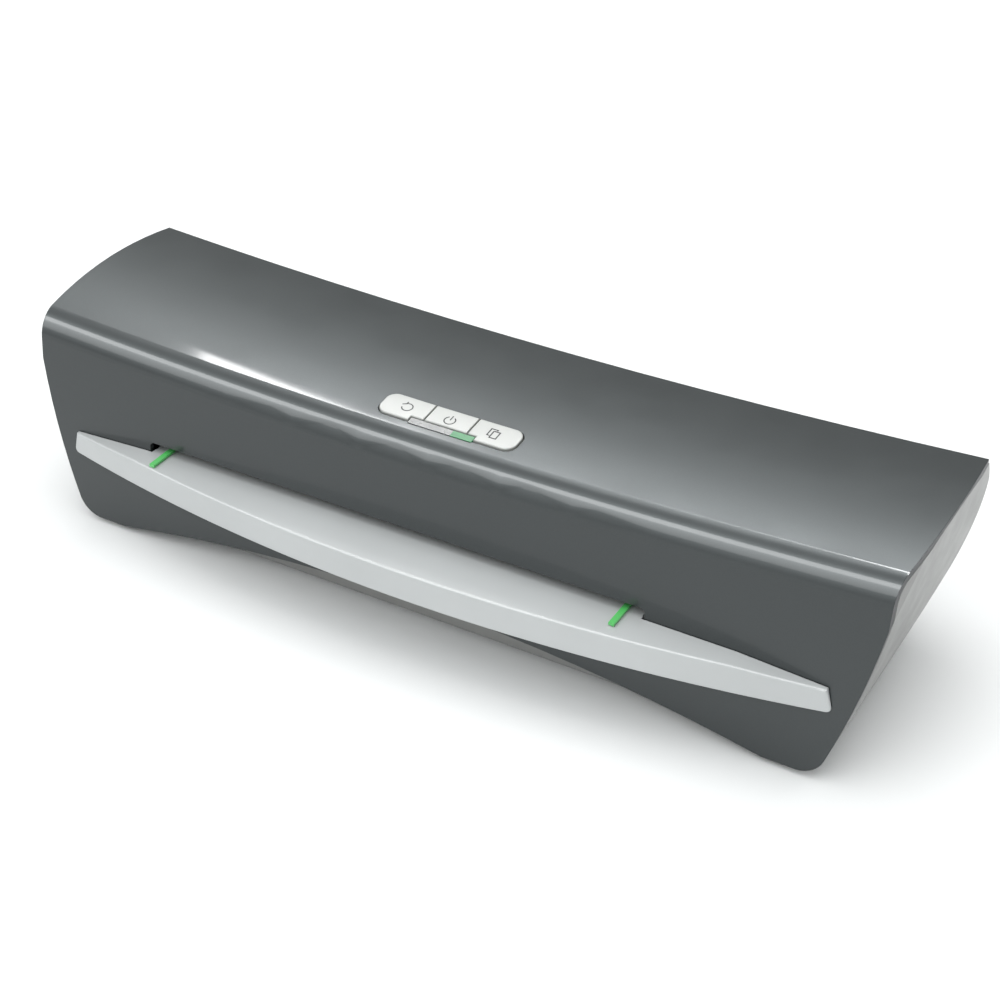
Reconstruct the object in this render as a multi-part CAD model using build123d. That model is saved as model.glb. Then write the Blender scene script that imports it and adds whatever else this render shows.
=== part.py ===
from build123d import *
import math
import os

# Pouch laminator, A4. Millimetres, +Z up, +X to the machine's right, +Y towards the rear.
# Origin: middle of the footprint, on the plane the feet stand on.

os.makedirs("parts", exist_ok=True)

# ---- overall sizes ----
HALF_LEN = 198.3        # half length of the cover at its crown
HALF_LOW = 175.2        # half length where the tapered end would meet the foot of the front
Z_TOP = 98.2            # crown of the top cover at its two ends
SAG = 6.3               # how far the top dips towards the middle of its length
Y_CROWN = 12.45         # where the crown lies
R_TOP = 302.8           # radius of the shallow dome of the top
Y_BACK = 50.5           # rear edge of the top cover
Y_RIDGE = -42.3         # where top and front would meet if the ridge were sharp
R_RIDGE = 12.0          # rounding of the front ridge
Y_FOOT = -50.6          # front panel, at table level
Z_FOOT = 2.6            # lowest edge of the front panel
R_TOE = 12.0            # rounding of the lower corners of the front panel
Z_ARCH = 17.5           # top of the arch under the front panel
Y_REAR = 68.5           # rearmost bulge of the rear shell
R_TAIL = 9.0            # rounding of the lower rear edge
R_UNDER = 45.0          # where the underside starts to rise
WALL = 2.5              # housing wall
GAP = 0.5               # shut line between housing parts

# ---- paper path ----
Z_PATH = 46.0           # plane of the pouch
X_PATH = -18.5          # middle of the path: it sits left of the middle, the drive is on the right
GUIDE_HALF = 108.3      # inner faces of the guides, set for the widest pouch
GUIDE_TRAVEL = 55.0     # how far each guide slides inwards
SLOT_HALF = 118.3       # half width of the entry slot
SLOT_H = 4.3            # height of the entry slot
TRAY_HALF = 177.0
TRAY_REACH = 18.0       # how far the middle of the tray stands out of the front
LIP_END = 12.6
LIP_MID = 13.6
TIP_DROP = 1.9          # the shelf falls away a little outside the paper path

# ---- drive ----
MOD = 1.0               # gear module
N_ROLL = 18             # teeth on each roller gear
N_IDLE = 20             # teeth on the idler between the lower rollers
N_PIN = 12              # teeth on the motor pinion
Y_DRIVE = 6.0           # middle of the roller set
R_NIP_GAP = 0.2         # half of the gap left between two sleeves at the nip
R_SHAFT = 4.0
SHAFT_CLEAR = 0.05      # running clearance of shafts in their bushes
FRAME_T = 1.5
X_FRAME_L = -150.0      # outer face of the left side frame
X_FRAME_R = 114.0       # outer face of the right side frame
FRAME_TOP = 88.0
GEAR_W = 6.0
X_GEAR = X_FRAME_R + 4.0

# ---- buttons ----
X_BTN = -0.6
BTN_PITCH = 20.1        # spacing of the two grooves between the three buttons
BTN_LEN = 63.2          # the whole row
BTN_DEPTH = 13.1
BTN_ROUND = 4.7
BTN_GAP = 0.5
BTN_STROKE = 1.2
Y_BTN = -22.7
BTN_TILT = 6.7          # degrees the button faces lean forwards


def save(shape, name):
    export_step(shape, "parts/" + name + ".step")


def group(shapes):
    return Compound(children=list(shapes))


# ---------------------------------------------------------------- shared outlines
def top_z(y):
    return Z_TOP - R_TOP + math.sqrt(R_TOP ** 2 - (y - Y_CROWN) ** 2)


def circle_through(p, q, r):
    """Centre and radius of the circle through three points."""
    ax, ay, bx, by = q[0] - p[0], q[1] - p[1], r[0] - p[0], r[1] - p[1]
    d = 2 * (ax * by - ay * bx)
    ux = (by * (ax * ax + ay * ay) - ay * (bx * bx + by * by)) / d
    uy = (ax * (bx * bx + by * by) - bx * (ax * ax + ay * ay)) / d
    return (p[0] + ux, p[1] + uy), math.hypot(ux, uy)


KNEE = (Y_RIDGE, top_z(Y_RIDGE))
C_FRONT, R_FRONT = circle_through(KNEE, (Y_RIDGE - 4.9, 50.0), (Y_FOOT, 0.0))


def front_y(z, inset=0.0):
    return C_FRONT[0] - math.sqrt((R_FRONT - inset) ** 2 - (z - C_FRONT[1]) ** 2)


def crown_z(y, inset=0.0):
    return Z_TOP - R_TOP + math.sqrt((R_TOP - inset) ** 2 - (y - Y_CROWN) ** 2)


def cover_region(inset=0.0):
    """Everything behind the front and below the top, far past the housing on the other sides."""
    y, z = KNEE
    for _ in range(40):
        y, z = front_y(z, inset), crown_z(y, inset)
    back, low = 95.0, -25.0
    wire = (ThreePointArc((back, crown_z(back, inset)), (20.0, crown_z(20.0, inset)), (y, z))
            + ThreePointArc((y, z), (front_y(40.0, inset), 40.0), (front_y(low, inset), low))
            + Line((front_y(low, inset), low), (back, low)) + Line((back, low), (back, crown_z(back, inset))))
    face = make_face(wire)
    corner = min(face.vertices(), key=lambda v: (v.X - y) ** 2 + (v.Y - z) ** 2)
    return fillet(corner, R_RIDGE - inset)


def poly(*pts):
    return make_face(Polyline(*pts, close=True))


def shifted(p, q, d):
    """Line p-q moved d to its left, as a point and a direction."""
    n = math.hypot(q[0] - p[0], q[1] - p[1])
    ux, uy = (q[0] - p[0]) / n, (q[1] - p[1]) / n
    return (p[0] - uy * d, p[1] + ux * d), (ux, uy)


def cross_point(a, b):
    (ax, ay), (ux, uy) = a
    (bx, by), (vx, vy) = b
    k = ((bx - ax) * vy - (by - ay) * vx) / (ux * vy - uy * vx)
    return ax + k * ux, ay + k * uy


REAR_CORNER = (Y_REAR - 2.2, 35.0)
UNDER_MID = (46.0, 23.5)
UNDER_FRONT = (-36.5, 16.6)
C_REAR, R_REAR = circle_through((Y_BACK, top_z(Y_BACK)), (Y_REAR - 4.0, 70.5), (Y_REAR, Z_PATH))


def tail_region(inset=0.0):
    """In front of the lower rear wall and above the rising underside."""
    # walked clockwise from the rear, the inside lies on the right of each line
    lines = [shifted(p, q, -inset) for p, q in (((Y_REAR, Z_PATH), REAR_CORNER), (REAR_CORNER, UNDER_MID),
                                                (UNDER_MID, UNDER_FRONT),
                                                (UNDER_FRONT, (-90.0, UNDER_FRONT[1])))]
    up = cross_point(lines[0], ((0.0, 140.0), (1.0, 0.0)))
    corners = [cross_point(lines[i], lines[i + 1]) for i in range(3)]
    level = corners[2][1]
    face = poly(up, *corners, (-140.0, level), (-140.0, 140.0))
    for spot, radius in ((corners[0], R_TAIL - inset), (corners[1], R_UNDER - inset)):
        near = min(face.vertices(), key=lambda v: (v.X - spot[0]) ** 2 + (v.Y - spot[1]) ** 2)
        face = fillet(near, radius)
    return face


COVER = cover_region()


def body(inset, shrink, x0, x1):
    """The whole housing between x0 and x1, inset from the cover and shrunk on every side."""
    upper = cover_region(inset + shrink) & Pos(*C_REAR) * Circle(R_REAR - shrink)
    return bent(upper.faces()[0]) & along_x(tail_region(shrink), x0, x1)


def along_x(face, x0, x1):
    """Extrude a Y-Z outline from x0 to x1."""
    plane = Plane(origin=(x0, 0, 0), x_dir=(0, 1, 0), z_dir=(1, 0, 0))
    return extrude(plane * face, amount=x1 - x0, dir=(1, 0, 0))


def along_y(face, y0, y1):
    """Extrude an X-Z outline from y0 to y1."""
    plane = Plane(origin=(0, y1, 0), x_dir=(1, 0, 0), z_dir=(0, -1, 0))
    return extrude(plane * face, amount=y1 - y0, dir=(0, -1, 0))


def along_z(face, z0, z1):
    return extrude(Plane.XY.offset(z0) * face, amount=z1 - z0, dir=(0, 0, 1))


R_BEND = (HALF_LEN ** 2 + SAG ** 2) / (2 * SAG)
BEND_AXIS = Axis((0, 0, R_BEND + Z_TOP - SAG), (0, 1, 0))


def mid_z(y):
    """Height of the top surface at the middle of the machine."""
    return top_z(y) - SAG


def bent(face, half=HALF_LEN + 14.0):
    """Sweep a Y-Z outline to both sides along the shallow arc that the top follows."""
    turn = math.degrees(math.asin(half / R_BEND))
    swept = revolve(Plane.YZ * (Pos(0, -SAG) * face), BEND_AXIS, 2 * turn)
    return swept.rotate(BEND_AXIS, -turn)


def box(x0, x1, y0, y1, z0, z1):
    return Box(x1 - x0, y1 - y0, z1 - z0, align=(Align.MIN,) * 3).locate(Location((x0, y0, z0)))


def rod(axis, centre, radius, length):
    """Cylinder from centre, running length along +axis."""
    turn = {"X": (0, 90, 0), "Y": (-90, 0, 0), "Z": (0, 0, 0)}[axis]
    c = Cylinder(radius, length, align=(Align.CENTER, Align.CENTER, Align.MIN))
    return Location(centre, turn) * c


def end_limits(inset=0.0):
    """Block whose two ends are the tapered, slightly bowed ends of the housing."""
    lo, hi = HALF_LOW - inset, HALF_LEN - 1.5 - inset
    mid = (lo + hi) / 2 + 3.4
    half = (Line((0, Z_FOOT), (lo, Z_FOOT)) + ThreePointArc((lo, Z_FOOT), (mid, 50.0), (hi, 92.0))
            + Line((hi, 92.0), (hi + 3.0, 102.0)) + Line((hi + 3.0, 102.0), (0, 102.0))
            + Line((0, 102.0), (0, Z_FOOT)))
    half = make_face(half)
    toe = min(half.vertices(), key=lambda v: (v.X - lo) ** 2 + (v.Y - Z_FOOT) ** 2)
    front = along_y(fillet(toe, R_TOE), -80, 80)
    crown = HALF_LEN - inset

    def plan_x(y):
        return crown - (400.0 - math.sqrt(400.0 ** 2 - (y - 12.0) ** 2))

    plan = (Line((0, -80), (plan_x(-80), -80)) + ThreePointArc((plan_x(-80), -80), (crown, 12), (plan_x(80), 80))
            + Line((plan_x(80), 80), (0, 80)) + Line((0, 80), (0, -80)))
    right = front & along_z(make_face(plan), 0, 105)
    return right + mirror(right, about=Plane.YZ)


# ---------------------------------------------------------------- gears
def gear_face(teeth, bore=0.0, turn=0.0):
    """Straight-flanked spur gear outline with running backlash; turn is in tooth pitches."""
    rp = MOD * teeth / 2
    ra, rf = rp + 0.82 * MOD, rp - 1.2 * MOD
    step = 2 * math.pi / teeth
    tip, mid, root = 0.14 * step, 0.205 * step, 0.30 * step
    if teeth < 16:
        root = 0.26 * step
    pts = []
    for i in range(teeth):
        a = (i + turn) * step
        for r, w in ((rf, -root), (rp, -mid), (ra, -tip), (ra, tip), (rp, mid), (rf, root)):
            pts.append((r * math.cos(a + w), r * math.sin(a + w)))
    face = make_face(Polyline(*pts, close=True))
    return face - Circle(bore) if bore else face


def gear_x(teeth, x0, width, y, z, bore, turn=0.0):
    """Spur gear turning about X. Tooth 0 points along +Y when turn is 0."""
    plane = Plane(origin=(x0, y, z), x_dir=(0, 1, 0), z_dir=(1, 0, 0))
    return extrude(plane * gear_face(teeth, bore, turn), amount=width, dir=(1, 0, 0))


# ---------------------------------------------------------------- roller layout
R_PITCH = MOD * N_ROLL / 2
R_IDLE = MOD * N_IDLE / 2
R_PIN = MOD * N_PIN / 2
R_SLEEVE = R_PITCH - R_NIP_GAP
Y_FRONT_ROLL = Y_DRIVE - R_PITCH - R_IDLE
Y_REAR_ROLL = Y_DRIVE + R_PITCH + R_IDLE
Z_LOWER = Z_PATH - R_PITCH
Z_UPPER = Z_PATH + R_PITCH
ROLLS = {
    "front_lower": (Y_FRONT_ROLL, Z_LOWER),
    "front_upper": (Y_FRONT_ROLL, Z_UPPER),
    "rear_lower": (Y_REAR_ROLL, Z_LOWER),
    "rear_upper": (Y_REAR_ROLL, Z_UPPER),
}
R_BUSH = R_SHAFT + 2.2

# ---------------------------------------------------------------- buttons, in a tilted frame
btn_n = (0, -math.sin(math.radians(BTN_TILT)), math.cos(math.radians(BTN_TILT)))
BTN_PLANE = Plane(origin=(X_BTN, Y_BTN, mid_z(Y_BTN)), x_dir=(1, 0, 0), z_dir=btn_n)
BOARD_W = -12.6         # top of the switch board, along the buttons' own axis


def prism(plane, face, w0, w1):
    return extrude(plane.offset(w0) * face, amount=w1 - w0, dir=plane.z_dir)


def pill(length, depth, radius):
    return RectangleRounded(length, depth, radius)


# ================================================================ housing
LIMITS = end_limits()

# --- top cover: top, ridge and front panel in one shell ---
ring = COVER - cover_region(WALL)
keep = poly((-90, Z_FOOT - 1), (-90, 130), (Y_BACK, 130), (Y_BACK, 84), (-30, 80), (-30, Z_FOOT - 1))
cover = bent((ring & keep).faces()[0]) & LIMITS
# arch under the front panel
arch_x = HALF_LOW - 22.0
arch = make_face(ThreePointArc((arch_x, Z_FOOT), (0, Z_ARCH), (-arch_x, Z_FOOT))
                 + Line((-arch_x, Z_FOOT), (-arch_x, -20)) + Line((-arch_x, -20), (arch_x, -20))
                 + Line((arch_x, -20), (arch_x, Z_FOOT)))
cover -= along_y(arch, -60, -30)
# tray opening and the entry slot above it
cover -= box(-TRAY_HALF + 8, TRAY_HALF - 8, -60, -40, Z_PATH - LIP_END + 2, Z_PATH - TIP_DROP)
cover -= box(X_PATH - SLOT_HALF, X_PATH + SLOT_HALF, -60, -40, Z_PATH - TIP_DROP - 1, Z_PATH + 0.35)
slot = RectangleRounded(2 * SLOT_HALF, 2 * SLOT_H, 2.2)
cover -= along_y(Pos(X_PATH, Z_PATH) * slot, -60, -40) & box(-190, 190, -60, -40, Z_PATH, Z_PATH + 9)
# button well and lens windows
cover -= prism(BTN_PLANE, pill(BTN_LEN + 2 * BTN_GAP, BTN_DEPTH + 2 * BTN_GAP, BTN_ROUND + BTN_GAP), -9, 6)
LENS_U, LENS_LEN, LENS_DEPTH = -0.8, 29.6, 3.3
LENS_FRONT = -BTN_DEPTH / 2 - 1.1          # the strip starts just in front of the buttons
LENS_BACK = LENS_FRONT + LENS_DEPTH
cover -= prism(BTN_PLANE, Pos(LENS_U, (LENS_FRONT + LENS_BACK) / 2) * Rectangle(LENS_LEN, LENS_DEPTH), -9, 6)
# inner ribs that stiffen the top and stand clear of everything below
rib = (cover_region(WALL - 0.2) - cover_region(WALL + 2.4)) & poly((-6, 80), (-6, 130), (46, 130), (46, 80))
rib = bent(rib.faces()[0])
for x in (-120.0, -60.0, 60.0, 120.0):
    cover += rib & box(x - 0.9, x + 0.9, -60, 60, 60, 120)
inside = bent(cover_region(0.5))
# two posts that carry the switch board
POST_U = 36.0
for u in (-POST_U, POST_U):
    post = prism(BTN_PLANE, Pos(u, 2.0) * Circle(2.4), BOARD_W, -1.0)
    cover += post & inside
for x in (X_FRAME_L + FRAME_T / 2, X_FRAME_R - FRAME_T / 2):
    for y in (-9.0, 32.0):
        post = box(x - 2.4, x + 2.4, y - 3, y + 3, FRAME_TOP, Z_TOP)
        cover += post & inside
save(cover, "top_cover")

# --- side caps ---
cap_in = WALL + GAP
cap_out = body(cap_in, 0.0, 0, HALF_LEN + 5) & LIMITS
cap_hollow = body(cap_in, WALL, -10, HALF_LEN + 5) & end_limits(2.6)
X_CAP = HALF_LEN - 26.8
cap_r = (cap_out - cap_hollow) & box(X_CAP, 230, -80, 80, 0, 120)
for y, z in ((-24.0, 76.0), (34.0, 80.0), (40.0, 40.0)):
    boss = rod("X", (X_CAP + 1, y, z), 3.2, 60) & cap_out
    cap_r += boss - rod("X", (X_CAP, y, z), 1.3, 12)
save(cap_r, "side_cap_right")
save(mirror(cap_r, about=Plane.YZ), "side_cap_left")

# --- rear cover with exit slot, vents and inlet window ---
X_IN = X_CAP - GAP
wall_3d = body(0.0, 0.0, -X_IN, X_IN) - body(0.0, WALL, -X_IN - 1, X_IN + 1)
rear_keep = poly((Y_BACK + 0.4, 130), (90, 130), (90, REAR_CORNER[1] + 1.5), (50, REAR_CORNER[1] + 1.5),
                 (50, 60), (Y_BACK + 0.4, 75))
rear = wall_3d & along_x(rear_keep, -X_IN, X_IN)
EXIT_HALF, EXIT_H = 119.0, 8.0
rear -= box(X_PATH - EXIT_HALF, X_PATH + EXIT_HALF, 55, 80, Z_PATH - EXIT_H / 2, Z_PATH + EXIT_H / 2)
for i in range(24):
    x = X_PATH + (i - 11.5) * 9.0
    rear -= box(x - 1.6, x + 1.6, 45, 80, 62, 82)
INLET_X, INLET_Z = 142.0, 56.0
rear -= box(INLET_X - 11, INLET_X + 11, 50, 80, INLET_Z - 7, INLET_Z + 7)
tab_ring = body(0.0, WALL, -X_CAP - 6, X_CAP + 6) - body(0.0, WALL + 2.0, -X_CAP - 9, X_CAP + 9)
for xa in (-X_CAP - 4.5, X_CAP - 16):
    rear += tab_ring & box(xa, xa + 20.5, 45, 90, 48, 80)
save(rear, "rear_cover")

# --- base housing: a pan with a flared upper skirt ---
BASE_X, BASE_Y0, BASE_Y1, BASE_Z = 165.0, -38.5, 42.0, 2.0
under_keep = poly((-46.4, 0), (90, 0), (90, REAR_CORNER[1] + 1.0), (50, REAR_CORNER[1] + 1.0),
                  (-46.4, 40))
skirt_face = (tail_region() - tail_region(WALL)) & under_keep
skirt = along_x(max(skirt_face.faces(), key=lambda f: f.area), -X_IN, X_IN)


def pan(inset, z0, z1):
    w, d = 2 * (BASE_X - inset), BASE_Y1 - BASE_Y0 - 2 * inset
    face = Pos(0, (BASE_Y0 + BASE_Y1) / 2) * RectangleRounded(w, d, 12 - inset)
    return along_z(face, z0, z1)


base_tab = ((tail_region(WALL) - tail_region(WALL + 2.0)) & poly((-26, 10), (36, 10), (36, 34), (-26, 34))).faces()[0]
below = along_x(poly((-60, -5), (-60, UNDER_FRONT[1] + 1.2), (UNDER_FRONT[0], UNDER_FRONT[1] + 1.2),
                     (UNDER_MID[0], UNDER_MID[1] + 1.2), (90, UNDER_MID[1] + 20), (90, -5)), -200, 200)
FLOOR = BASE_Z + WALL
base = (pan(0, BASE_Z, 45) & below) + skirt - pan(WALL, FLOOR, 60)
for xa in (-X_CAP - 4.5, X_CAP - 5.5):
    base += along_x(base_tab, xa, xa + 10)
FEET = [(sx * 148.0, y) for sx in (-1, 1) for y in (-27.0, 30.0)]
SCREWS = [(sx * x, y) for sx in (-1, 1) for x in (60.0, 128.0) for y in (-27.0, 31.0)]
for x, y in FEET:
    base -= rod("Z", (x, y, 0), 7.2, BASE_Z + 0.8)
for x, y in SCREWS:
    base += rod("Z", (x, y, FLOOR - 0.5), 4.0, 4.3)
    base -= rod("Z", (x, y, 0), 3.4, BASE_Z + 2.0)
    base -= rod("Z", (x, y, 0), 1.6, 30)
for i in range(9):
    x = X_PATH + (i - 4) * 12.0
    base -= box(x - 2, x + 2, -14, 18, 0, FLOOR + 0.5)
save(base, "base_housing")
save(group([rod("Z", (x, y, 0), 7.0, BASE_Z + 0.8) for x, y in FEET]), "rubber_feet")
save(group([rod("Z", (x, y, 1.2), 3.1, BASE_Z + 0.8) + rod("Z", (x, y, 3.9), 1.5, 4.2)
            for x, y in SCREWS]), "base_screws")

# --- feed tray: crescent shelf with a tongue that runs in to the rollers ---
def crescent(extra=0.0):
    y_end = front_y(Z_PATH) - 1.2
    xe = TRAY_HALF + 3.0 - extra
    return make_face(ThreePointArc((-xe, y_end), (0, front_y(Z_PATH) - TRAY_REACH - 3 + extra), (xe, y_end))
                     + Line((xe, y_end), (xe, -30)) + Line((xe, -30), (-xe, -30)) + Line((-xe, -30), (-xe, y_end)))


def lip(inset=0.0):
    top, end, mid = Z_PATH - inset, Z_PATH - LIP_END + inset, Z_PATH - LIP_MID + inset
    xt, xb, flat = TRAY_HALF - 1.2 - inset, TRAY_HALF + 1.8 - inset, -X_PATH + SLOT_HALF + 2.0
    tip = top - TIP_DROP
    face = make_face(Polyline((-xb, end), (-xt, tip), (-flat, top), (flat, top), (xt, tip), (xb, end))
                     + ThreePointArc((xb, end), (0, mid), (-xb, end)))
    if inset == 0.0:
        low = [v for v in face.vertices() if abs(abs(v.X) - xb) < 0.01]
        face = fillet(low, 2.2)
    return face


behind = bent(cover_region(-0.3))
shelf = along_z(crescent(), 20, 60) & along_y(lip(), -80, -20)
rim = [e for e in shelf.edges() if e.center().Y < front_y(Z_PATH) - 2.0 and e.bounding_box().size.X > 5]
shelf = fillet(rim, 0.9) - behind
hollow = (along_z(crescent(2.2), 20, 60) & along_y(lip(2.0), -80, -20)) - behind
shelf -= hollow & box(-190, 190, -90, -20, 20, Z_PATH - 2.2)
Y_TONGUE = Y_FRONT_ROLL - R_SLEEVE - 2.0
TONGUE_W = TRAY_HALF - 9
tongue = box(-TONGUE_W, TONGUE_W, -50, -45.2, Z_PATH - TIP_DROP - 2.6, Z_PATH - TIP_DROP - 0.3)
tongue += box(X_PATH - SLOT_HALF + 1, X_PATH + SLOT_HALF - 1, -50, -45.2, Z_PATH - 3.0, Z_PATH)
tongue += box(X_PATH - 117, X_PATH + 117, -46, Y_TONGUE, Z_PATH - 2.2, Z_PATH)
tongue += box(-TONGUE_W, TONGUE_W, -46.2, -45.2, Z_PATH - 7.0, Z_PATH - TIP_DROP - 0.3)
tongue += box(X_FRAME_L + FRAME_T, X_FRAME_R - FRAME_T, -32.5, Y_TONGUE, Z_PATH - 2.2, Z_PATH)
RACK_Y = -39.0
tongue -= box(X_PATH - GUIDE_HALF - 5, X_PATH + GUIDE_HALF + 5, RACK_Y - 1.9, RACK_Y + 1.9, 30, 50)
shelf += tongue
save(shelf, "feed_tray")

# ================================================================ pouch guides
GUIDE_W, GUIDE_H = 2.5, 1.2
PIN_T = 12
R_GP = MOD * PIN_T / 2
Z_RACK = Z_PATH - 6.4
GP_Y = RACK_Y + 4.4
guide_parts = {}
for name, s in (("left", -1), ("right", 1)):
    x = X_PATH + s * (GUIDE_HALF + GUIDE_W / 2)
    bar = box(x - GUIDE_W / 2, x + GUIDE_W / 2, -57.5, RACK_Y + 3.2, Z_PATH + 0.35, Z_PATH + 0.35 + GUIDE_H)
    # the left stem passes behind the teeth of the right rack
    stem_y = RACK_Y - 1.4 if s > 0 else GP_Y - R_GP + 0.82 * MOD + 0.4
    stem = box(x - GUIDE_W / 2, x + GUIDE_W / 2, stem_y, RACK_Y + 1.4, Z_PATH - 6, Z_PATH + 1)
    # each rack passes on its own side of the pinion
    y_pitch = GP_Y - s * R_GP
    y_back = GP_Y - s * (R_GP + 3.2)
    n = int((GUIDE_HALF + 12) / (math.pi * MOD))
    pts = []
    pitch = math.pi * MOD
    # tooth spaces face the pinion; a rack tooth lies on the pinion's centre line offset by half a pitch
    start = X_PATH - s * 4.5 * pitch
    for i in range(n):
        c = start + s * i * pitch
        q = [(-0.30, -1.2), (-0.205, 0.0), (-0.14, 0.82), (0.14, 0.82), (0.205, 0.0), (0.30, -1.2)]
        for w, h in q:
            pts.append((c + s * w * pitch, y_pitch + s * h * MOD))
    last = pts[-1][0]
    first = pts[0][0]
    pts += [(last, y_back), (first, y_back)]
    rack = along_z(make_face(Polyline(*pts, close=True)), Z_RACK - 1.6, Z_RACK + 1.6)
    ya, yb = sorted((y_back, y_pitch - s * 1.4 * MOD))
    xa, xb = sorted((last - s * 1.0, x + s * GUIDE_W / 2))
    ext = box(xa, xb, ya, yb, Z_RACK - 1.6, Z_RACK + 1.6)
    ja, jb = sorted((y_back, stem_y))
    foot_block = box(x - GUIDE_W / 2, x + GUIDE_W / 2, min(ja, stem_y), max(jb, RACK_Y + 1.4),
                     Z_RACK - 1.6, Z_RACK + 1.6)
    save(bar + stem + foot_block + ext + rack, "pouch_guide_" + name)
gp = Location((X_PATH, GP_Y, Z_RACK - 1.6)) * extrude(gear_face(PIN_T, 2.05, (PIN_T / 4) % 1), amount=3.2, dir=(0, 0, 1))
save(gp, "guide_pinion")
# carrier under the tray that holds the pinion and both racks
CAR = R_GP + 4.4
carrier = box(X_PATH - 60, X_PATH + 60, GP_Y - CAR, GP_Y + CAR, Z_RACK - 4.4, Z_RACK - 2.0)
carrier += rod("Z", (X_PATH, GP_Y, Z_RACK - 3), 2.0, 5.2)
for ya, yb in ((GP_Y - CAR, GP_Y - CAR + 0.9), (GP_Y + CAR - 0.9, GP_Y + CAR)):
    carrier += box(X_PATH - 60, X_PATH + 60, ya, yb, Z_RACK - 3, Z_PATH - 2.2)
save(carrier, "guide_carrier")

# ================================================================ buttons, lenses, switch board
PROUD = 0.9             # how far the caps stand out of the cover
outer_skin = Pos(0, PROUD * btn_n[1], PROUD * btn_n[2]) * bent(COVER, 80)
lens_room = prism(BTN_PLANE, Pos(LENS_U, (LENS_FRONT + LENS_BACK) / 2)
                  * Rectangle(LENS_LEN + 0.8, LENS_DEPTH + 0.8), -4.6, 6)
names = ("button_reverse", "button_power", "button_mode")
FLANGE_W = -5.4
for i, name in enumerate(names):
    u = (i - 1) * BTN_PITCH
    full_pill = pill(BTN_LEN, BTN_DEPTH, BTN_ROUND)
    a = -BTN_LEN / 2 if i == 0 else u - BTN_PITCH / 2 + BTN_GAP / 2
    b = BTN_LEN / 2 if i == 2 else u + BTN_PITCH / 2 - BTN_GAP / 2
    strip = Pos((a + b) / 2, 0) * Rectangle(b - a, BTN_DEPTH + 1)
    cap = (prism(BTN_PLANE, full_pill & strip, FLANGE_W, 4) & outer_skin) - lens_room
    brim = [e for e in cap.edges() if e.center().Z > mid_z(Y_BTN) - 0.9]
    cap = fillet(brim, 0.5)
    flange_end = 1.0
    fa = a - (flange_end if i == 0 else 0)
    fb = b + (flange_end if i == 2 else 0)
    flange = prism(BTN_PLANE, Pos((fa + fb) / 2, 0) * Rectangle(fb - fa, BTN_DEPTH + 2.0), FLANGE_W, FLANGE_W + 1.0)
    stem = prism(BTN_PLANE, Pos(u, 0) * Circle(1.8), BOARD_W + 3.4 + BTN_STROKE + 0.4, FLANGE_W + 0.5)
    save(cap + flange + stem, name)

lens_skin = Pos(0, 0.3 * btn_n[1], 0.3 * btn_n[2]) * bent(COVER, 80)
lenses = []
for i in range(3):
    seg = LENS_LEN / 3
    face = Pos(LENS_U + (i - 1) * seg, (LENS_FRONT + LENS_BACK) / 2) * Rectangle(seg - 0.06, LENS_DEPTH)
    lip_w = Pos(LENS_U + (i - 1) * seg, LENS_FRONT + 0.5) * Rectangle(seg - 0.06, 3.0)
    body_w = prism(BTN_PLANE, face, -3.7, 3) & lens_skin
    lenses.append(body_w + (prism(BTN_PLANE, lip_w, -3.7, -1) & bent(cover_region(WALL), 80)))
save(group(lenses[:2]), "status_lens_idle")
save(lenses[2], "status_lens_lit")

board = prism(BTN_PLANE, Pos(0, 1.5) * Rectangle(2 * POST_U + 9, 13.0), BOARD_W - 1.6, BOARD_W)
save(board, "switch_board")
save(group([prism(BTN_PLANE, Pos((i - 1) * BTN_PITCH, 0) * Rectangle(6, 6), BOARD_W, BOARD_W + 2.5)
            + prism(BTN_PLANE, Pos((i - 1) * BTN_PITCH, 0) * Circle(1.6), BOARD_W + 2.3, BOARD_W + 3.4)
            for i in range(3)]), "tact_switches")

# ================================================================ frames, bushes, rods
def frame_plate(x0, tabs):
    """Side frame: full height above the skirt, narrow where it stands in the pan."""
    out = make_face(Polyline((-33, FLOOR), (37, FLOOR), (37, 28), (44, 30), (44, FRAME_TOP), (-16, FRAME_TOP),
                             (-30, 74), (-33, 60), close=True))
    plate = along_x(out, x0, x0 + FRAME_T)
    for y, z in ROLLS.values():
        plate -= rod("X", (x0 - 5, y, z), R_BUSH, 12)
    for y, z in TIES:
        plate -= rod("X", (x0 - 5, y, z), 1.6, 12)
    plate += box(*sorted((x0, x0 + tabs * 9)), -30, -14, FLOOR, FLOOR + FRAME_T)
    plate += box(*sorted((x0, x0 + tabs * 9)), 14, 34, FLOOR, FLOOR + FRAME_T)
    return plate


TIES = [(-27.5, 61.5), (38.0, 82.0), (34.0, 12.0)]
xl, xr = X_FRAME_L, X_FRAME_R - FRAME_T
save(frame_plate(xl, -1), "frame_left")
save(frame_plate(xr, 1), "frame_right")
save(group([rod("X", (xl + FRAME_T, y, z), 3.0, xr - xl - FRAME_T) for y, z in TIES]), "tie_rods")
save(group([rod("X", (x, y, z), 1.5, FRAME_T) + rod("X", (x + d, y, z), 2.9, 1.6)
            for x, d in ((xl, -1.6), (xr, FRAME_T)) for y, z in TIES]), "tie_screws")
bushes = []
for y, z in ROLLS.values():
    for x0, inner in ((xl, 1), (xr, -1)):
        b = rod("X", (x0, y, z), R_BUSH, FRAME_T)
        fx = x0 + FRAME_T if inner > 0 else x0 - 2.0
        b += rod("X", (fx, y, z), R_BUSH + 1.3, 2.0)
        bushes.append(b - rod("X", (x0 - 6, y, z), R_SHAFT + SHAFT_CLEAR, 16))
save(group(bushes), "roller_bushes")

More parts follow.
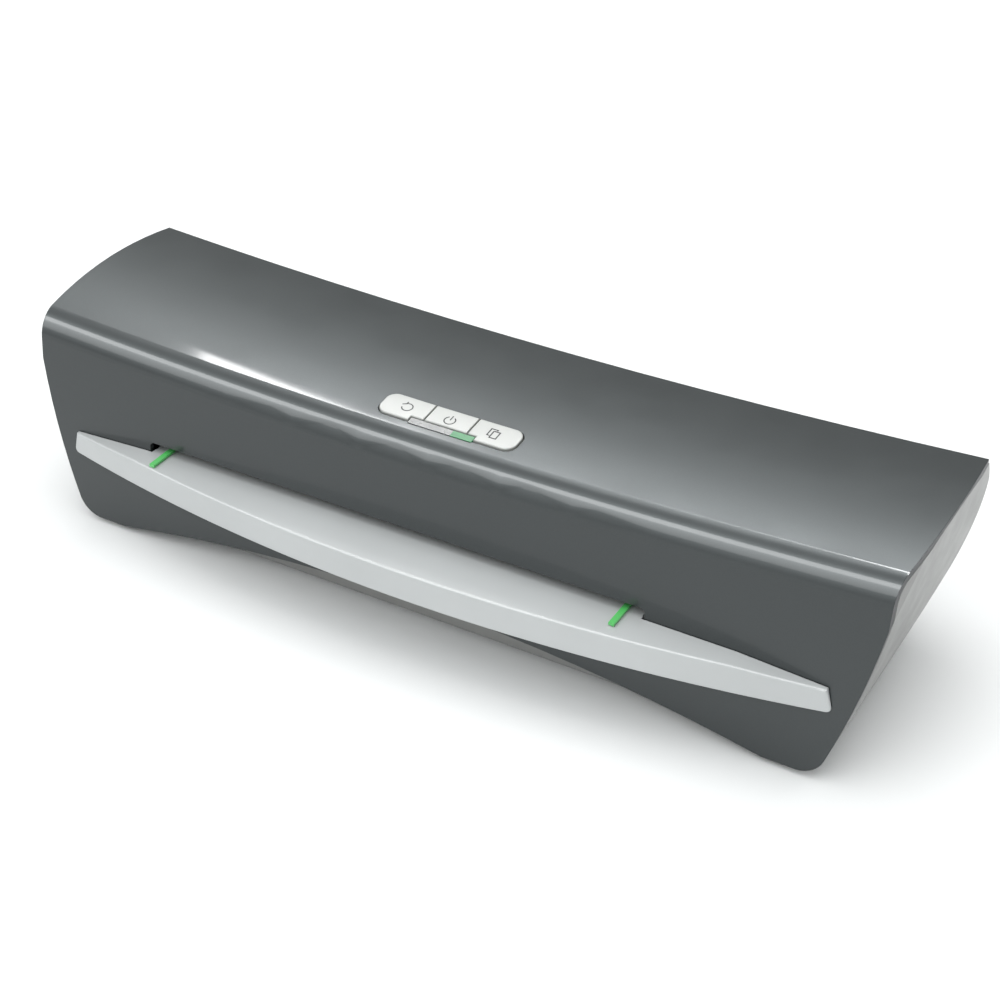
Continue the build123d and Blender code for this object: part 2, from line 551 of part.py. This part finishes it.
# ================================================================ rollers and gears
SLEEVE_HALF = 117.0
MESH = {"front_lower": 0.0, "rear_lower": 0.5 * ((N_ROLL / 2) % 1), "front_upper": 0.0, "rear_upper": 0.0}
for key, (y, z) in ROLLS.items():
    left_end = X_FRAME_L - 4.0
    shaft = rod("X", (left_end, y, z), R_SHAFT, X_GEAR + GEAR_W + 2.0 - left_end)
    save(shaft, "shaft_" + key)
    sleeve = rod("X", (X_PATH - SLEEVE_HALF, y, z), R_SLEEVE, 2 * SLEEVE_HALF)
    sleeve -= rod("X", (X_PATH - SLEEVE_HALF - 5, y, z), R_SHAFT, 2 * SLEEVE_HALF + 10)
    save(sleeve, "sleeve_" + key)
# a lower gear has a tooth on +Y and, with an even count, on -Y; a quarter turn further it has
# tooth number N/4, which is a half pitch out for 18 teeth, so the upper gear shows a tooth there
quarter = (N_ROLL / 4) % 1
for key, (y, z) in ROLLS.items():
    low = key.endswith("lower")
    turn = 0.0 if low else (0.5 - 2 * quarter) % 1
    save(gear_x(N_ROLL, X_GEAR, GEAR_W, y, z, R_SHAFT, turn), "gear_" + key)
# idler: a tooth gap faces each lower gear
save(gear_x(N_IDLE, X_GEAR, GEAR_W, Y_DRIVE, Z_LOWER, 3.05, 0.5), "idler_gear")
stud = rod("X", (X_FRAME_R, Y_DRIVE, Z_LOWER), 3.0, X_GEAR + GEAR_W + 1.5 - X_FRAME_R)
save(stud, "idler_stud")

# motor pinion above the idler, in mesh with it
Z_PIN = Z_LOWER + R_IDLE + R_PIN
idle_top = (N_IDLE / 4 - 0.5) % 1          # phase of the idler's teeth at its top, 0 is a tooth
pin_turn = (0.5 - idle_top - N_PIN / 4 * 3) % 1
X_MOTOR = X_GEAR + GEAR_W + 8.0
pinion = gear_x(N_PIN, X_GEAR, GEAR_W, Y_DRIVE, Z_PIN, 0, pin_turn)
pinion += rod("X", (X_GEAR + GEAR_W, Y_DRIVE, Z_PIN), 3.0, 8.0 + 6.0)
save(pinion, "motor_pinion")
MOTOR_R, MOTOR_L = 24.0, 19.0
motor = rod("X", (X_MOTOR, Y_DRIVE, Z_PIN), MOTOR_R, MOTOR_L) - rod("X", (X_MOTOR - 1, Y_DRIVE, Z_PIN), 3.05, 10)
motor = motor + rod("X", (X_MOTOR + MOTOR_L, Y_DRIVE, Z_PIN), 8.0, 3.0)
save(motor, "motor_body")
bracket_face = Pos(Y_DRIVE, Z_PIN) * (RectangleRounded(71, 51, 6) - Circle(5.0))
bracket = along_x(bracket_face, X_MOTOR - 2.0, X_MOTOR)
STAND = [(Y_DRIVE + a * 31.5, Z_PIN + b * 21.5) for a in (-1, 1) for b in (-1, 1)]
for y, z in STAND:
    bracket -= rod("X", (X_MOTOR - 5, y, z), 1.6, 10)
save(bracket, "motor_bracket")
save(group([rod("X", (X_FRAME_R, y, z), 2.6, X_MOTOR - 2.0 - X_FRAME_R) for y, z in STAND]), "motor_standoffs")

# ================================================================ heating
HEAT_Y0, HEAT_Y1 = Y_DRIVE - 8.4, Y_DRIVE + 8.4
HX0, HX1 = X_PATH - 119.0, X_PATH + 119.0
for name, s in (("upper", 1), ("lower", -1)):
    z_face = Z_PATH + s * 1.6
    za, zb = sorted((z_face, z_face + s * 5.0))
    plate = box(HX0, HX1, HEAT_Y0, HEAT_Y1, za, zb)
    for k in range(3):
        y = HEAT_Y0 + 0.8 + k * (HEAT_Y1 - HEAT_Y0 - 1.6) / 2
        fa, fb = sorted((z_face + s * 4.5, z_face + s * 9.0))
        plate += box(HX0, HX1, y - 0.8, y + 0.8, fa, fb)
    plate -= rod("X", (HX0 - 5, Y_DRIVE - 4.0, z_face + s * 2.6), 1.6, HX1 - HX0 + 10)
    save(plate, "heater_plate_" + name)
    save(rod("X", (HX0 - 5, Y_DRIVE - 4.0, z_face + s * 2.6), 1.55, HX1 - HX0 + 10), "heater_rod_" + name)
tabs = []
for xa, xb in ((xl + FRAME_T, HX0 + 7), (HX1 - 7, xr)):
    for za in (Z_PATH + 10.6, Z_PATH - 12.1):
        tabs.append(box(xa, xb, HEAT_Y0 + 1, HEAT_Y1 - 1, za, za + 1.5))
save(group(tabs), "heater_brackets")
thermo = rod("Z", (X_PATH - 40, Y_DRIVE, Z_PATH + 10.6), 6.5, 6.0)
thermo += box(X_PATH - 50, X_PATH - 30, Y_DRIVE - 2.2, Y_DRIVE + 2.2, Z_PATH + 11.0, Z_PATH + 12.6)
save(thermo, "thermostat")

# heat shield over the upper rollers and plate
shield_face = make_face(Polyline((-26, 68), (-22, 72.5), (34, 72.5), (40, 66), (40, 67.6), (34.7, 74), (-22.6, 74),
                                 (-26, 69.8), close=True))
shield = along_x(shield_face, xl + FRAME_T, xr)
for i in range(14):
    x = X_PATH + (i - 6.5) * 16.0
    shield -= box(x - 3, x + 3, -10, 22, 60, 80)
save(shield, "heat_shield")

# exit guides
EX0, EX1 = xl + FRAME_T, xr
save(along_x(poly((35.0, Z_PATH - 2.2), (64.0, Z_PATH - 3.6), (64.0, Z_PATH - 5.2), (35.0, Z_PATH - 3.8)), EX0, EX1),
     "exit_guide_lower")
save(along_x(poly((35.0, Z_PATH + 2.2), (64.0, Z_PATH + 3.6), (64.0, Z_PATH + 5.2), (35.0, Z_PATH + 3.8)), EX0, EX1),
     "exit_guide_upper")

# ================================================================ electrics
save(box(118, 160, -33, 34, 9.0, 10.6), "main_board")
save(group([rod("Z", (x, y, FLOOR), 2.5, 9.0 - FLOOR) for x in (126, 156) for y in (-12, 20)]), "board_standoffs")
save(group([box(122, 144, -10, 12, 10.6, 26), box(147, 158, -8, 12, 10.6, 22),
            rod("Z", (152, -18, 10.6), 5.0, 14.0), rod("Z", (128, 26, 10.6), 4.0, 9.0),
            box(140, 154, 22, 30, 10.6, 19)]), "board_parts")
inlet = box(INLET_X - 10.6, INLET_X + 10.6, 52, 67.0, INLET_Z - 6.6, INLET_Z + 6.6)
inlet += box(INLET_X - 13, INLET_X + 13, 60.5, 75, INLET_Z - 9, INLET_Z + 9) & body(0.0, WALL, 100, 171)
inlet -= box(INLET_X - 7, INLET_X + 7, 56, 70, INLET_Z - 3.6, INLET_Z + 3.6)
for d in (-4.3, 4.3):
    inlet -= rod("Y", (INLET_X + d, 40, INLET_Z), 1.1, 22)
save(inlet, "power_inlet")
save(group([rod("Y", (INLET_X + d, 47, INLET_Z), 1.1, 15.5) for d in (-4.3, 4.3)]), "inlet_pins")
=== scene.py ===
import bpy
import bmesh
import math
from mathutils import Matrix, Vector


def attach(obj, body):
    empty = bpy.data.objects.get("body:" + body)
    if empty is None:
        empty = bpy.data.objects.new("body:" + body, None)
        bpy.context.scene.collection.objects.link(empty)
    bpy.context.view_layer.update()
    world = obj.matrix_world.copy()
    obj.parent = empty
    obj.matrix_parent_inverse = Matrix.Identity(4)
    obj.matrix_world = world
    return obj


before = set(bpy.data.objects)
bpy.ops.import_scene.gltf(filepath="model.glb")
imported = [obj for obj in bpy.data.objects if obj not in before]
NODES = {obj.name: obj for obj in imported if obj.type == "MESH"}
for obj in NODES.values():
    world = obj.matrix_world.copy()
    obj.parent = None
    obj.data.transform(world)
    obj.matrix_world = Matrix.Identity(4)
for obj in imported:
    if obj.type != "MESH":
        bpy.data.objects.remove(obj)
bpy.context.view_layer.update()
SCENE = bpy.context.scene


# ------------------------------------------------------------------ materials
class Mat:
    """A Principled material whose colour, roughness and bump come from procedural nodes."""

    def __init__(self, name, base, rough, metal=0.0, **sockets):
        self.m = bpy.data.materials.new(name)
        self.m.use_nodes = True
        self.t = self.m.node_tree
        self.p = self.t.nodes["Principled BSDF"]
        self.p.inputs["Base Color"].default_value = (*base, 1)
        self.p.inputs["Roughness"].default_value = rough
        self.p.inputs["Metallic"].default_value = metal
        for key, value in sockets.items():
            self.p.inputs[key.replace("_", " ")].default_value = value
        self.base, self.rough = base, rough
        self.m.diffuse_color = (*base, 1)
        self.coords = self.t.nodes.new("ShaderNodeTexCoord").outputs["Object"]
        self.normal = None

    def node(self, kind, **values):
        n = self.t.nodes.new(kind)
        for key, value in values.items():
            if key in n.inputs:
                n.inputs[key].default_value = value
            else:
                setattr(n, key, value)
        return n

    def link(self, a, b):
        self.t.links.new(a, b)

    def noise(self, scale, detail=3.0, rough=0.5, stretch=None):
        n = self.node("ShaderNodeTexNoise", Scale=scale, Detail=detail, Roughness=rough)
        if stretch:
            m = self.node("ShaderNodeMapping")
            m.inputs["Scale"].default_value = stretch
            self.link(self.coords, m.inputs["Vector"])
            self.link(m.outputs["Vector"], n.inputs["Vector"])
        else:
            self.link(self.coords, n.inputs["Vector"])
        return n.outputs["Fac"]

    def spread(self, fac, low, high, lo_in=0.35, hi_in=0.65):
        n = self.node("ShaderNodeMapRange")
        for i, v in enumerate((lo_in, hi_in, low, high)):
            n.inputs[i + 1].default_value = v
        self.link(fac, n.inputs[0])
        return n.outputs[0]

    def tint(self, fac, amount):
        """Colour drifts by +-amount around the base."""
        ramp = self.node("ShaderNodeValToRGB")
        e = ramp.color_ramp.elements
        e[0].position, e[1].position = 0.3, 0.7
        e[0].color = (*[max(0, c * (1 - amount)) for c in self.base], 1)
        e[1].color = (*[min(1, c * (1 + amount)) for c in self.base], 1)
        self.link(fac, ramp.inputs["Fac"])
        self.link(ramp.outputs["Color"], self.p.inputs["Base Color"])
        return self

    def roughen(self, fac, amount):
        rough = self.spread(fac, self.rough - amount, self.rough + amount)
        self.link(rough, self.p.inputs["Roughness"])
        return self

    def round_edges(self, radius):
        """Worn and moulded edges catch the light: normals are rounded over this radius."""
        self.normal = self.node("ShaderNodeBevel", Radius=radius).outputs["Normal"]
        self.link(self.normal, self.p.inputs["Normal"])
        return self

    def bump(self, fac, strength, distance):
        n = self.node("ShaderNodeBump", Strength=strength, Distance=distance)
        self.link(fac, n.inputs["Height"])
        if self.normal is not None:
            self.link(self.normal, n.inputs["Normal"])
        self.normal = n.outputs["Normal"]
        self.link(self.normal, self.p.inputs["Normal"])
        return self


def moulded(name, base, rough, grain=0.00002, grain_scale=2600, drift=0.04, edge=0.0, wave=0.12,
            **sockets):
    """Injection-moulded plastic: fine spark-eroded grain, slow colour drift and uneven sheen."""
    m = Mat(name, base, rough, **sockets)
    if edge:
        m.round_edges(edge)
    m.tint(m.noise(14, 4, 0.55), drift)
    m.roughen(m.noise(60, 4, 0.6), 0.05)
    m.bump(m.noise(grain_scale, 2, 0.5), 0.25, grain)
    if wave:
        m.bump(m.noise(22, 2, 0.5), wave, 0.00005)
    return m.m


def metal(name, base, rough, stretch=(1, 60, 60), drift=0.08):
    """Bare or plated metal, brushed along its length."""
    m = Mat(name, base, rough, metal=1.0)
    brushed = m.noise(900, 4, 0.7, stretch=stretch)
    m.tint(brushed, drift).roughen(brushed, 0.08).bump(brushed, 0.15, 0.00001)
    return m.m


def cover_paint():
    """Dark grey lacquer: a faint metal flake under a clear coat."""
    m = Mat("cover_lacquer", (0.027, 0.0325, 0.034), 0.36, metal=0.5, Coat_Weight=0.6,
            Coat_Roughness=0.06, Coat_IOR=1.5)
    m.round_edges(0.0005)
    flake = m.node("ShaderNodeTexVoronoi", Scale=2600.0)
    m.link(m.coords, flake.inputs["Vector"])
    sparkle = m.spread(flake.outputs["Color"], 0.94, 1.07, 0.0, 1.0)
    cloud = m.spread(m.noise(7, 3, 0.5), 0.97, 1.03)
    both = m.node("ShaderNodeMath", operation="MULTIPLY")
    m.link(sparkle, both.inputs[0])
    m.link(cloud, both.inputs[1])
    mix = m.node("ShaderNodeVectorMath", operation="SCALE")
    mix.inputs[0].default_value = m.base
    m.link(both.outputs[0], mix.inputs["Scale"])
    m.link(mix.outputs["Vector"], m.p.inputs["Base Color"])
    m.roughen(m.noise(40, 3, 0.6), 0.02)
    m.bump(m.noise(180, 2, 0.4), 0.03, 0.00002)
    return m.m


M = {
    "cover": cover_paint(),
    "silver": moulded("cap_silver", (0.225, 0.225, 0.219), 0.40, edge=0.0006, Coat_Weight=0.2,
                      Coat_Roughness=0.25),
    "tray": moulded("tray_silver", (0.45, 0.462, 0.464), 0.34, edge=0.0004, Coat_Weight=0.3,
                    Coat_Roughness=0.2),
    "rear": moulded("rear_grey", (0.055, 0.058, 0.062), 0.55, grain=0.00005, grain_scale=1500),
    "button": moulded("button_white", (0.36, 0.366, 0.35), 0.36, edge=0.0003, wave=0.0, Coat_Weight=0.25,
                      Coat_Roughness=0.25, drift=0.01),
    "green": moulded("guide_green", (0.09, 0.50, 0.12), 0.3, Coat_Weight=0.4, Coat_Roughness=0.1),
    "lens": moulded("lens_smoked", (0.045, 0.05, 0.05), 0.3, Coat_Weight=0.3, Coat_Roughness=0.15),
    "feet": moulded("feet_rubber", (0.02, 0.02, 0.02), 0.8),
    "bush": moulded("bush_nylon", (0.03, 0.03, 0.03), 0.5),
    "gear": moulded("gear_nylon", (0.74, 0.71, 0.62), 0.45),
    "silicone": moulded("roller_silicone", (0.40, 0.10, 0.05), 0.55),
    "ceramic": moulded("heater_ceramic", (0.70, 0.64, 0.55), 0.6),
    "bakelite": moulded("bakelite", (0.035, 0.03, 0.026), 0.4),
    "exit": moulded("exit_grey", (0.045, 0.045, 0.048), 0.6),
    "board": moulded("board_green", (0.02, 0.14, 0.06), 0.35, Coat_Weight=0.4, Coat_Roughness=0.15),
    "parts": moulded("board_components", (0.05, 0.05, 0.055), 0.45),
    "inlet": moulded("inlet_black", (0.015, 0.015, 0.015), 0.45),
    "icon": moulded("icon_ink", (0.012, 0.013, 0.014), 0.6),
    "steel": metal("zinc_steel", (0.50, 0.50, 0.51), 0.35),
    "frame": metal("galvanised", (0.55, 0.56, 0.57), 0.45, stretch=(20, 20, 60)),
    "shaft": metal("ground_steel", (0.60, 0.60, 0.60), 0.25),
    "aluminium": metal("heater_aluminium", (0.72, 0.73, 0.74), 0.4),
    "motor": metal("motor_can", (0.42, 0.43, 0.44), 0.4),
    "brass": metal("pin_brass", (0.75, 0.60, 0.28), 0.3),
}
lit = Mat("lens_lit", (0.001, 0.16, 0.04), 0.45, Coat_Weight=0.1, Coat_Roughness=0.3,
          Emission_Strength=0.04)
lit.p.inputs["Emission Color"].default_value = (0.01, 0.55, 0.15, 1)
lit.tint(lit.noise(300, 2, 0.5), 0.12)
M["lit"] = lit.m

ROLLS = ("front_lower", "front_upper", "rear_lower", "rear_upper")
PAINT = {
    "cover": ["top_cover"],
    "silver": ["side_cap_left", "side_cap_right", "base_housing"],
    "tray": ["feed_tray"],
    "rear": ["rear_cover"],
    "button": ["button_reverse", "button_power", "button_mode"],
    "green": ["pouch_guide_left", "pouch_guide_right"],
    "lens": ["status_lens_idle"],
    "lit": ["status_lens_lit"],
    "feet": ["rubber_feet"],
    "steel": ["base_screws", "tie_screws", "tie_rods", "motor_standoffs", "board_standoffs", "idler_stud"],
    "frame": ["frame_left", "frame_right", "motor_bracket", "heat_shield", "heater_brackets"],
    "shaft": ["shaft_" + r for r in ROLLS],
    "silicone": ["sleeve_" + r for r in ROLLS],
    "gear": ["gear_" + r for r in ROLLS] + ["idler_gear", "motor_pinion", "guide_pinion"],
    "bush": ["roller_bushes", "guide_carrier"],
    "aluminium": ["heater_plate_upper", "heater_plate_lower"],
    "ceramic": ["heater_rod_upper", "heater_rod_lower"],
    "bakelite": ["thermostat"],
    "exit": ["exit_guide_upper", "exit_guide_lower"],
    "board": ["main_board", "switch_board"],
    "parts": ["board_parts", "tact_switches"],
    "motor": ["motor_body"],
    "inlet": ["power_inlet"],
    "brass": ["inlet_pins"],
}
for key, names in PAINT.items():
    for n in names:
        o = NODES[n]
        o.data.materials.clear()
        o.data.materials.append(M[key])

# painted shade: the cut edges of the cover shell get a matte dark plastic without the lacquer, standing in
# for the shadowed dark line along the cover's edge
CUT_FACING = 0.85       # how squarely a face looks out along X or Y to count as a cut edge
END_EDGE_X = 0.168      # the end edges lie farther out than this
REAR_EDGE_Y = 0.0495    # the rear edge lies farther back than this
shell = NODES["top_cover"].data
shell.materials.append(M["parts"])
for f in shell.polygons:
    at_end = abs(f.normal.x) > CUT_FACING and abs(f.center.x) > END_EDGE_X
    if at_end or (f.normal.y > CUT_FACING and f.center.y > REAR_EDGE_Y):
        f.material_index = 1

# ------------------------------------------------------------------ button signs
TILT = math.radians(6.7)                        # the button faces lean forwards
ROW_AT = Vector((-0.0006, -0.0227, 0.0898529))  # middle of the row on the cover's skin
PROUD = 0.9                                     # mm the faces stand above that point
DOME_CURVE = 605.6                              # faces fall off as v * v over this, in mm
DIP_CURVE = 6248.0                              # and rise as u * u over this
ROW_U, ROW_N = Vector((1, 0, 0)), Vector((0, -math.sin(TILT), math.cos(TILT)))
ROW_V = ROW_N.cross(ROW_U)


def on_button(u, v, lift):
    """Point on the buttons' faces, u and v in mm from the middle of the row."""
    w = PROUD - v * v / DOME_CURVE + u * u / DIP_CURVE + lift
    return ROW_AT + (ROW_U * u + ROW_V * v + ROW_N * w) * 0.001


def arc(cu, cv, r, a0, a1, n=36):
    """Points along an arc about (cu, cv), angles in degrees."""
    return [(cu + r * math.cos(math.radians(a0 + (a1 - a0) * i / n)),
             cv + r * math.sin(math.radians(a0 + (a1 - a0) * i / n))) for i in range(n + 1)]


SIGN_LINE = 0.54                # mm, width of a printed line
SIGN_TOP, SIGN_SUNK = 0.03, -0.12   # mm, its upper and lower side from the button's face


def printed(name, body, strokes):
    """A sign printed on a button: each stroke is an open line or a closed loop of even width."""
    bm = bmesh.new()
    for pts, closed in strokes:
        n = len(pts)
        rows = []
        for i, (u, v) in enumerate(pts):
            before = pts[(i - 1) % n] if closed or i else pts[0]
            after = pts[(i + 1) % n] if closed or i < n - 1 else pts[-1]
            a = Vector((u - before[0], v - before[1]))
            b = Vector((after[0] - u, after[1] - v))
            a = a.normalized() if a.length > 1e-9 else b.normalized()
            b = b.normalized() if b.length > 1e-9 else a
            side = Vector((-(a + b).y, (a + b).x)).normalized()
            reach = SIGN_LINE / 2 / max(0.45, side.dot(Vector((-a.y, a.x))))
            row = []
            for k, lift in ((1, SIGN_SUNK), (1, SIGN_TOP), (-1, SIGN_TOP), (-1, SIGN_SUNK)):
                at = on_button(u + side.x * reach * k, v + side.y * reach * k, lift)
                row.append(bm.verts.new(at))
            rows.append(row)
        for i in range(n if closed else n - 1):
            p, q = rows[i], rows[(i + 1) % n]
            for k in range(4):
                bm.faces.new((p[k], p[(k + 1) % 4], q[(k + 1) % 4], q[k]))
        if not closed:
            bm.faces.new(rows[0])
            bm.faces.new(rows[-1])
    bmesh.ops.recalc_face_normals(bm, faces=bm.faces)
    mesh = bpy.data.meshes.new(name)
    bm.to_mesh(mesh)
    bm.free()
    mesh.materials.append(M["icon"])
    o = bpy.data.objects.new(name, mesh)
    SCENE.collection.objects.link(o)
    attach(o, body)


U_L, U_M, U_R = -20.2, -0.2, 19.9   # middles of the three signs along the row
printed("sign_reverse", "reverse_button", [
    (arc(U_L, 0.1, 2.3, 130, -165), False),
    ([(U_L - 2.9, 1.0), (U_L - 1.45, 1.85), (U_L - 1.2, 3.3)], False)])
printed("sign_power", "power_button", [
    (arc(U_M, 0.0, 2.35, 122, 418), False),
    ([(U_M, 0.2), (U_M, 3.1)], False)])
printed("sign_mode", "mode_button", [
    ([(U_R - 0.6, -2.6), (U_R + 2.3, -2.6), (U_R + 2.3, 1.6), (U_R - 0.6, 1.6)], True),
    ([(U_R - 1.1, -1.5), (U_R - 2.2, -1.5), (U_R - 2.2, 2.7), (U_R + 0.7, 2.7), (U_R + 0.7, 2.1)],
     False)])

# ------------------------------------------------------------------ camera
CAM_AT = (0.35492, -0.60651, 0.51409)
YAW, PITCH, ROLL = 0.5178, 0.5940, 0.0053
SENSOR_MM, LENS_MM = 36.0, 72.506
cy, sy, cp, sp = math.cos(YAW), math.sin(YAW), math.cos(PITCH), math.sin(PITCH)
fwd = Vector((-sy * cp, cy * cp, -sp))
right0 = Vector((cy, sy, 0))
up0 = right0.cross(fwd)
cr, sr = math.cos(ROLL), math.sin(ROLL)
right, up = cr * right0 + sr * up0, -sr * right0 + cr * up0
cam_data = bpy.data.cameras.new("camera")
cam = bpy.data.objects.new("camera", cam_data)
SCENE.collection.objects.link(cam)
cam.matrix_world = Matrix((
    (right.x, up.x, -fwd.x, CAM_AT[0]), (right.y, up.y, -fwd.y, CAM_AT[1]),
    (right.z, up.z, -fwd.z, CAM_AT[2]), (0, 0, 0, 1)))
cam_data.sensor_width = SENSOR_MM
cam_data.lens = LENS_MM
cam_data.clip_start = 0.01
cam_data.clip_end = 50
SCENE.camera = cam

# ------------------------------------------------------------------ floor and light
bm = bmesh.new()
bmesh.ops.create_grid(bm, x_segments=2, y_segments=2, size=6.0)
floor_mesh = bpy.data.meshes.new("floor")
bm.to_mesh(floor_mesh)
bm.free()
floor = bpy.data.objects.new("floor", floor_mesh)
SCENE.collection.objects.link(floor)
fm = Mat("floor_white", (0.84, 0.84, 0.84), 0.85)
fm.tint(fm.noise(3, 2, 0.5), 0.01)
floor_mesh.materials.append(fm.m)

world = bpy.data.worlds.new("world")
SCENE.world = world
world.use_nodes = True
sky = world.node_tree
back_node = sky.nodes["Background"]
gen = sky.nodes.new("ShaderNodeTexCoord")
axes = sky.nodes.new("ShaderNodeSeparateXYZ")
sky.links.new(gen.outputs["Generated"], axes.inputs[0])


def sky_range(fac, low_in, high_in, low, high):
    """Smooth step of the sky's strength from low to high."""
    n = sky.nodes.new("ShaderNodeMapRange")
    n.interpolation_type = "SMOOTHSTEP"
    for i, v in enumerate((low_in, high_in, low, high)):
        n.inputs[i + 1].default_value = v
    sky.links.new(fac, n.inputs[0])
    return n.outputs[0]


# a soft ceiling that is brightest overhead, with one broad soft light in front
lift = sky_range(axes.outputs["Z"], 0.2, 1.0, 0.28, 1.2)
toward = sky.nodes.new("ShaderNodeVectorMath")
toward.operation = "DOT_PRODUCT"
toward.inputs[1].default_value = (-0.2, -0.80, 0.565)
sky.links.new(gen.outputs["Generated"], toward.inputs[0])
front = sky_range(toward.outputs["Value"], 0.6, 0.98, 0.0, 1.1)
dome = sky.nodes.new("ShaderNodeMath")
dome.operation = "ADD"
sky.links.new(lift, dome.inputs[0])
sky.links.new(front, dome.inputs[1])
sky.links.new(dome.outputs[0], back_node.inputs["Strength"])
back_node.inputs["Color"].default_value = (0.97, 1.0, 1.0, 1)
SCENE.view_settings.view_transform = "Standard"


def area_light(name, size_x, size_y, power):
    d = bpy.data.lights.new(name, "AREA")
    d.shape = "RECTANGLE"
    d.size, d.size_y = size_x, size_y
    d.energy = power
    o = bpy.data.objects.new(name, d)
    SCENE.collection.objects.link(o)
    return o


def soft_light(name, at, target, size, power):
    """A square soft box that lights the machine and isn't seen mirrored in it."""
    o = area_light(name, size, size, power)
    o.location = at
    o.rotation_euler = (Vector(target) - Vector(at)).to_track_quat("-Z", "Y").to_euler()
    o.visible_glossy = False


RIDGE_Y, RIDGE_Z = -0.035, 0.09   # the strips stand around this line on the cover's ridge
STRIP_AWAY = 1.5                  # their distance from it


def strip(name, elevation, spread, radiance, x_mid=-0.75, length=2.6):
    """A tube light parallel to the machine, seen in the ridge of the cover."""
    e = math.radians(elevation)
    n = Vector((0, math.cos(e), math.sin(e)))
    x = Vector((1, 0, 0))
    y = n.cross(x)
    at = Vector((x_mid, RIDGE_Y + STRIP_AWAY * n.y, RIDGE_Z + STRIP_AWAY * n.z))
    wide = 2 * STRIP_AWAY * math.tan(math.radians(spread / 2))
    o = area_light(name, length, wide, radiance * math.pi * length * wide)
    o.visible_diffuse = False
    o.matrix_world = Matrix((
        (x.x, y.x, n.x, at.x), (x.y, y.y, n.y, at.y), (x.z, y.z, n.z, at.z), (0, 0, 0, 1)))


strip("strip_rear", 58.0, 9.0, 26.0, x_mid=-0.35, length=1.3)
strip("strip_front", 121.0, 16.0, 8.0)
strip("strip_low", 143.0, 28.0, 2.4)
soft_light("fill", (-0.7, -1.2, 0.9), (0, 0, 0.04), 1.0, 1)
soft_light("ceiling", (0.1, 0.3, 2.0), (0, 0, 0), 1.8, 18)
